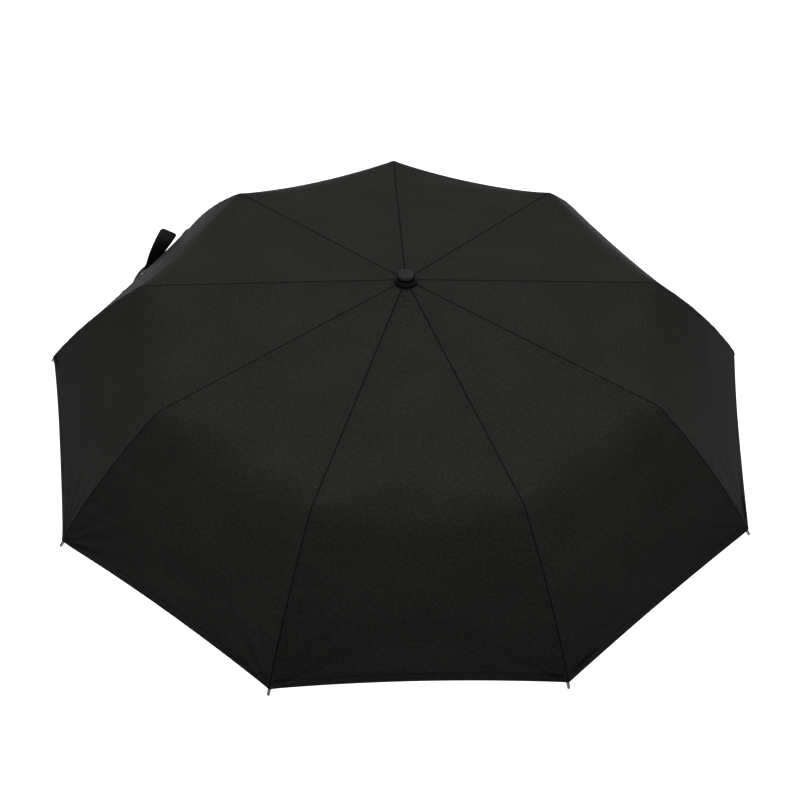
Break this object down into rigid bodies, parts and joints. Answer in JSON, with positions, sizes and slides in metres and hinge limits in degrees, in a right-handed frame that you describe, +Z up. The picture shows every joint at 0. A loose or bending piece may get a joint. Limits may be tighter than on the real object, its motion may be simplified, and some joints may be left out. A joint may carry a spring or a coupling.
{
  "type": "folding umbrella",
  "caption": "Open folding umbrella with hinged three-part ribs, a sliding runner, a telescoping shaft, a push-button handle and a dark polygonal canopy.",
  "frame": {"origin": "centre of the straight length of the hand grip, on the shaft's axis", "axes": "+Z up the shaft to the crown, +Y along rib 1, the push button faces -Y"},
  "size_m": [0.9528, 0.9384, 0.593],
  "materials": {
    "canopy_fabric": "woven",
    "strap_webbing": "woven",
    "cap_grey": "satin",
    "black_gloss": "gloss",
    "black_moulding": "satin",
    "white_bush": "satin",
    "bright_wire": "drawn",
    "black_steel": "coated",
    "black_tube": "coated",
    "glass_fibre": "gloss",
    "handle_soft": "soft touch",
    "button_gloss": "gloss"
  },
  "bodies": {
    "handle": {"handle_body": "handle_soft", "shaft_socket": "black_moulding", "handle_end_cap": "black_gloss", "lanyard_bar": "bright_wire", "lower_tube": "black_tube", "lower_guide_ring": "white_bush", "button_spring": "bright_wire"},
    "push_button": {"push_button": "button_gloss"},
    "middle_shaft": {"middle_tube": "black_tube", "middle_guide_ring": "white_bush", "middle_end_bush": "black_moulding"},
    "upper_shaft": {"upper_tube": "black_tube", "upper_end_bush": "black_moulding", "crown_hub": "black_moulding", "crown_wire": "bright_wire", "cap_flange": "black_gloss", "cap_top": "cap_grey", "canopy": "canopy_fabric", "closure_strap": "strap_webbing"},
    "runner": {"runner": "black_moulding"},
    "top_rib_1": {"top_rib_1": "black_steel"},
    "stretcher_1": {"stretcher_1": "black_steel"},
    "middle_rib_1": {"middle_rib_1": "black_steel"},
    "outer_rib_1": {"outer_rib_1": "glass_fibre"},
    "top_rib_2": {"top_rib_2": "black_steel"},
    "stretcher_2": {"stretcher_2": "black_steel"},
    "middle_rib_2": {"middle_rib_2": "black_steel"},
    "outer_rib_2": {"outer_rib_2": "glass_fibre"},
    "top_rib_3": {"top_rib_3": "black_steel"},
    "stretcher_3": {"stretcher_3": "black_steel"},
    "middle_rib_3": {"middle_rib_3": "black_steel"},
    "outer_rib_3": {"outer_rib_3": "glass_fibre"},
    "top_rib_4": {"top_rib_4": "black_steel"},
    "stretcher_4": {"stretcher_4": "black_steel"},
    "middle_rib_4": {"middle_rib_4": "black_steel"},
    "outer_rib_4": {"outer_rib_4": "glass_fibre"},
    "top_rib_5": {"top_rib_5": "black_steel"},
    "stretcher_5": {"stretcher_5": "black_steel"},
    "middle_rib_5": {"middle_rib_5": "black_steel"},
    "outer_rib_5": {"outer_rib_5": "glass_fibre"},
    "top_rib_6": {"top_rib_6": "black_steel"},
    "stretcher_6": {"stretcher_6": "black_steel"},
    "middle_rib_6": {"middle_rib_6": "black_steel"},
    "outer_rib_6": {"outer_rib_6": "glass_fibre"},
    "top_rib_7": {"top_rib_7": "black_steel"},
    "stretcher_7": {"stretcher_7": "black_steel"},
    "middle_rib_7": {"middle_rib_7": "black_steel"},
    "outer_rib_7": {"outer_rib_7": "glass_fibre"},
    "top_rib_8": {"top_rib_8": "black_steel"},
    "stretcher_8": {"stretcher_8": "black_steel"},
    "middle_rib_8": {"middle_rib_8": "black_steel"},
    "outer_rib_8": {"outer_rib_8": "glass_fibre"},
    "top_rib_9": {"top_rib_9": "black_steel"},
    "stretcher_9": {"stretcher_9": "black_steel"},
    "middle_rib_9": {"middle_rib_9": "black_steel"},
    "outer_rib_9": {"outer_rib_9": "glass_fibre"}
  },
  "joints": [
    {"name": "button_press", "type": "slide", "parent": "handle", "child": "push_button", "axis": [0, 1, 0], "range_m": [0, 0.0022], "stiffness_N_per_m": 800, "springref_m": -0.002, "deforming": ["button_spring"]},
    {"name": "middle_tube_slide", "type": "slide", "parent": "handle", "child": "middle_shaft", "axis": [0, 0, -1], "range_m": [0, 0.139]},
    {"name": "upper_tube_slide", "type": "slide", "parent": "middle_shaft", "child": "upper_shaft", "axis": [0, 0, -1], "range_m": [0, 0.139]},
    {"name": "canopy_fold", "type": "hinge", "parent": "upper_shaft", "child": "top_rib_1", "pos_m": [0, 0.011, 0.55], "axis": [-1, 0, 0], "range_deg": [0, 80], "deforming": ["canopy", "closure_strap"]},
    {"name": "stretcher_1_hinge", "type": "hinge", "parent": "top_rib_1", "child": "stretcher_1", "pos_m": [0, 0.09471, 0.53524], "axis": [-1, 0, 0], "range_deg": [-136.84, 0]},
    {"name": "middle_rib_1_hinge", "type": "hinge", "parent": "top_rib_1", "child": "middle_rib_1", "pos_m": [0, 0.18091, 0.52309], "axis": [-1, 0, 0], "range_deg": [-178.01, 0]},
    {"name": "outer_rib_1_hinge", "type": "hinge", "parent": "middle_rib_1", "child": "outer_rib_1", "pos_m": [0, 0.33852, 0.49488], "axis": [-1, 0, 0], "range_deg": [0, 142.02]},
    {"name": "top_rib_2_hinge", "type": "hinge", "parent": "upper_shaft", "child": "top_rib_2", "pos_m": [-0.00707, 0.00843, 0.55], "axis": [-0.766, -0.6428, 0], "range_deg": [0, 80]},
    {"name": "stretcher_2_hinge", "type": "hinge", "parent": "top_rib_2", "child": "stretcher_2", "pos_m": [-0.06088, 0.07255, 0.53524], "axis": [-0.766, -0.6428, 0], "range_deg": [-136.84, 0]},
    {"name": "middle_rib_2_hinge", "type": "hinge", "parent": "top_rib_2", "child": "middle_rib_2", "pos_m": [-0.11629, 0.13858, 0.52309], "axis": [-0.766, -0.6428, 0], "range_deg": [-178.01, 0]},
    {"name": "outer_rib_2_hinge", "type": "hinge", "parent": "middle_rib_2", "child": "outer_rib_2", "pos_m": [-0.21759, 0.25932, 0.49488], "axis": [-0.766, -0.6428, 0], "range_deg": [0, 142.02]},
    {"name": "top_rib_3_hinge", "type": "hinge", "parent": "upper_shaft", "child": "top_rib_3", "pos_m": [-0.01083, 0.00191, 0.55], "axis": [-0.1736, -0.9848, 0], "range_deg": [0, 80]},
    {"name": "stretcher_3_hinge", "type": "hinge", "parent": "top_rib_3", "child": "stretcher_3", "pos_m": [-0.09327, 0.01645, 0.53524], "axis": [-0.1736, -0.9848, 0], "range_deg": [-136.84, 0]},
    {"name": "middle_rib_3_hinge", "type": "hinge", "parent": "top_rib_3", "child": "middle_rib_3", "pos_m": [-0.17816, 0.03141, 0.52309], "axis": [-0.1736, -0.9848, 0], "range_deg": [-178.01, 0]},
    {"name": "outer_rib_3_hinge", "type": "hinge", "parent": "middle_rib_3", "child": "outer_rib_3", "pos_m": [-0.33337, 0.05878, 0.49488], "axis": [-0.1736, -0.9848, 0], "range_deg": [0, 142.02]},
    {"name": "top_rib_4_hinge", "type": "hinge", "parent": "upper_shaft", "child": "top_rib_4", "pos_m": [-0.00953, -0.0055, 0.55], "axis": [0.5, -0.866, 0], "range_deg": [0, 80]},
    {"name": "stretcher_4_hinge", "type": "hinge", "parent": "top_rib_4", "child": "stretcher_4", "pos_m": [-0.08202, -0.04735, 0.53524], "axis": [0.5, -0.866, 0], "range_deg": [-136.84, 0]},
    {"name": "middle_rib_4_hinge", "type": "hinge", "parent": "top_rib_4", "child": "middle_rib_4", "pos_m": [-0.15667, -0.09045, 0.52309], "axis": [0.5, -0.866, 0], "range_deg": [-178.01, 0]},
    {"name": "outer_rib_4_hinge", "type": "hinge", "parent": "middle_rib_4", "child": "outer_rib_4", "pos_m": [-0.29316, -0.16926, 0.49488], "axis": [0.5, -0.866, 0], "range_deg": [0, 142.02]},
    {"name": "top_rib_5_hinge", "type": "hinge", "parent": "upper_shaft", "child": "top_rib_5", "pos_m": [-0.00376, -0.01034, 0.55], "axis": [0.9397, -0.342, 0], "range_deg": [0, 80]},
    {"name": "stretcher_5_hinge", "type": "hinge", "parent": "top_rib_5", "child": "stretcher_5", "pos_m": [-0.03239, -0.089, 0.53524], "axis": [0.9397, -0.342, 0], "range_deg": [-136.84, 0]},
    {"name": "middle_rib_5_hinge", "type": "hinge", "parent": "top_rib_5", "child": "middle_rib_5", "pos_m": [-0.06187, -0.17, 0.52309], "axis": [0.9397, -0.342, 0], "range_deg": [-178.01, 0]},
    {"name": "outer_rib_5_hinge", "type": "hinge", "parent": "middle_rib_5", "child": "outer_rib_5", "pos_m": [-0.11578, -0.3181, 0.49488], "axis": [0.9397, -0.342, 0], "range_deg": [0, 142.02]},
    {"name": "top_rib_6_hinge", "type": "hinge", "parent": "upper_shaft", "child": "top_rib_6", "pos_m": [0.00376, -0.01034, 0.55], "axis": [0.9397, 0.342, 0], "range_deg": [0, 80]},
    {"name": "stretcher_6_hinge", "type": "hinge", "parent": "top_rib_6", "child": "stretcher_6", "pos_m": [0.03239, -0.089, 0.53524], "axis": [0.9397, 0.342, 0], "range_deg": [-136.84, 0]},
    {"name": "middle_rib_6_hinge", "type": "hinge", "parent": "top_rib_6", "child": "middle_rib_6", "pos_m": [0.06187, -0.17, 0.52309], "axis": [0.9397, 0.342, 0], "range_deg": [-178.01, 0]},
    {"name": "outer_rib_6_hinge", "type": "hinge", "parent": "middle_rib_6", "child": "outer_rib_6", "pos_m": [0.11578, -0.3181, 0.49488], "axis": [0.9397, 0.342, 0], "range_deg": [0, 142.02]},
    {"name": "top_rib_7_hinge", "type": "hinge", "parent": "upper_shaft", "child": "top_rib_7", "pos_m": [0.00953, -0.0055, 0.55], "axis": [0.5, 0.866, 0], "range_deg": [0, 80]},
    {"name": "stretcher_7_hinge", "type": "hinge", "parent": "top_rib_7", "child": "stretcher_7", "pos_m": [0.08202, -0.04735, 0.53524], "axis": [0.5, 0.866, 0], "range_deg": [-136.84, 0]},
    {"name": "middle_rib_7_hinge", "type": "hinge", "parent": "top_rib_7", "child": "middle_rib_7", "pos_m": [0.15667, -0.09045, 0.52309], "axis": [0.5, 0.866, 0], "range_deg": [-178.01, 0]},
    {"name": "outer_rib_7_hinge", "type": "hinge", "parent": "middle_rib_7", "child": "outer_rib_7", "pos_m": [0.29316, -0.16926, 0.49488], "axis": [0.5, 0.866, 0], "range_deg": [0, 142.02]},
    {"name": "top_rib_8_hinge", "type": "hinge", "parent": "upper_shaft", "child": "top_rib_8", "pos_m": [0.01083, 0.00191, 0.55], "axis": [-0.1736, 0.9848, 0], "range_deg": [0, 80]},
    {"name": "stretcher_8_hinge", "type": "hinge", "parent": "top_rib_8", "child": "stretcher_8", "pos_m": [0.09327, 0.01645, 0.53524], "axis": [-0.1736, 0.9848, 0], "range_deg": [-136.84, 0]},
    {"name": "middle_rib_8_hinge", "type": "hinge", "parent": "top_rib_8", "child": "middle_rib_8", "pos_m": [0.17816, 0.03141, 0.52309], "axis": [-0.1736, 0.9848, 0], "range_deg": [-178.01, 0]},
    {"name": "outer_rib_8_hinge", "type": "hinge", "parent": "middle_rib_8", "child": "outer_rib_8", "pos_m": [0.33337, 0.05878, 0.49488], "axis": [-0.1736, 0.9848, 0], "range_deg": [0, 142.02]},
    {"name": "top_rib_9_hinge", "type": "hinge", "parent": "upper_shaft", "child": "top_rib_9", "pos_m": [0.00707, 0.00843, 0.55], "axis": [-0.766, 0.6428, 0], "range_deg": [0, 80]},
    {"name": "stretcher_9_hinge", "type": "hinge", "parent": "top_rib_9", "child": "stretcher_9", "pos_m": [0.06088, 0.07255, 0.53524], "axis": [-0.766, 0.6428, 0], "range_deg": [-136.84, 0]},
    {"name": "middle_rib_9_hinge", "type": "hinge", "parent": "top_rib_9", "child": "middle_rib_9", "pos_m": [0.11629, 0.13858, 0.52309], "axis": [-0.766, 0.6428, 0], "range_deg": [-178.01, 0]},
    {"name": "outer_rib_9_hinge", "type": "hinge", "parent": "middle_rib_9", "child": "outer_rib_9", "pos_m": [0.21759, 0.25932, 0.49488], "axis": [-0.766, 0.6428, 0], "range_deg": [0, 142.02]},
    {"name": "runner_slide", "type": "slide", "parent": "upper_shaft", "child": "runner", "axis": [0, 0, -1], "range_m": [0, 0.11554]}
  ],
  "couplings": [
    {"joint": "stretcher_1_hinge", "follows": "canopy_fold", "ratio": -1.7104},
    {"joint": "middle_rib_1_hinge", "follows": "canopy_fold", "ratio": -2.225},
    {"joint": "outer_rib_1_hinge", "follows": "canopy_fold", "ratio": 1.7752},
    {"joint": "top_rib_2_hinge", "follows": "canopy_fold", "ratio": 1},
    {"joint": "stretcher_2_hinge", "follows": "canopy_fold", "ratio": -1.7104},
    {"joint": "middle_rib_2_hinge", "follows": "canopy_fold", "ratio": -2.225},
    {"joint": "outer_rib_2_hinge", "follows": "canopy_fold", "ratio": 1.7752},
    {"joint": "top_rib_3_hinge", "follows": "canopy_fold", "ratio": 1},
    {"joint": "stretcher_3_hinge", "follows": "canopy_fold", "ratio": -1.7104},
    {"joint": "middle_rib_3_hinge", "follows": "canopy_fold", "ratio": -2.225},
    {"joint": "outer_rib_3_hinge", "follows": "canopy_fold", "ratio": 1.7752},
    {"joint": "top_rib_4_hinge", "follows": "canopy_fold", "ratio": 1},
    {"joint": "stretcher_4_hinge", "follows": "canopy_fold", "ratio": -1.7104},
    {"joint": "middle_rib_4_hinge", "follows": "canopy_fold", "ratio": -2.225},
    {"joint": "outer_rib_4_hinge", "follows": "canopy_fold", "ratio": 1.7752},
    {"joint": "top_rib_5_hinge", "follows": "canopy_fold", "ratio": 1},
    {"joint": "stretcher_5_hinge", "follows": "canopy_fold", "ratio": -1.7104},
    {"joint": "middle_rib_5_hinge", "follows": "canopy_fold", "ratio": -2.225},
    {"joint": "outer_rib_5_hinge", "follows": "canopy_fold", "ratio": 1.7752},
    {"joint": "top_rib_6_hinge", "follows": "canopy_fold", "ratio": 1},
    {"joint": "stretcher_6_hinge", "follows": "canopy_fold", "ratio": -1.7104},
    {"joint": "middle_rib_6_hinge", "follows": "canopy_fold", "ratio": -2.225},
    {"joint": "outer_rib_6_hinge", "follows": "canopy_fold", "ratio": 1.7752},
    {"joint": "top_rib_7_hinge", "follows": "canopy_fold", "ratio": 1},
    {"joint": "stretcher_7_hinge", "follows": "canopy_fold", "ratio": -1.7104},
    {"joint": "middle_rib_7_hinge", "follows": "canopy_fold", "ratio": -2.225},
    {"joint": "outer_rib_7_hinge", "follows": "canopy_fold", "ratio": 1.7752},
    {"joint": "top_rib_8_hinge", "follows": "canopy_fold", "ratio": 1},
    {"joint": "stretcher_8_hinge", "follows": "canopy_fold", "ratio": -1.7104},
    {"joint": "middle_rib_8_hinge", "follows": "canopy_fold", "ratio": -2.225},
    {"joint": "outer_rib_8_hinge", "follows": "canopy_fold", "ratio": 1.7752},
    {"joint": "top_rib_9_hinge", "follows": "canopy_fold", "ratio": 1},
    {"joint": "stretcher_9_hinge", "follows": "canopy_fold", "ratio": -1.7104},
    {"joint": "middle_rib_9_hinge", "follows": "canopy_fold", "ratio": -2.225},
    {"joint": "outer_rib_9_hinge", "follows": "canopy_fold", "ratio": 1.7752},
    {"joint": "runner_slide", "follows": "canopy_fold", "m_per_rad": 0.082744}
  ]
}
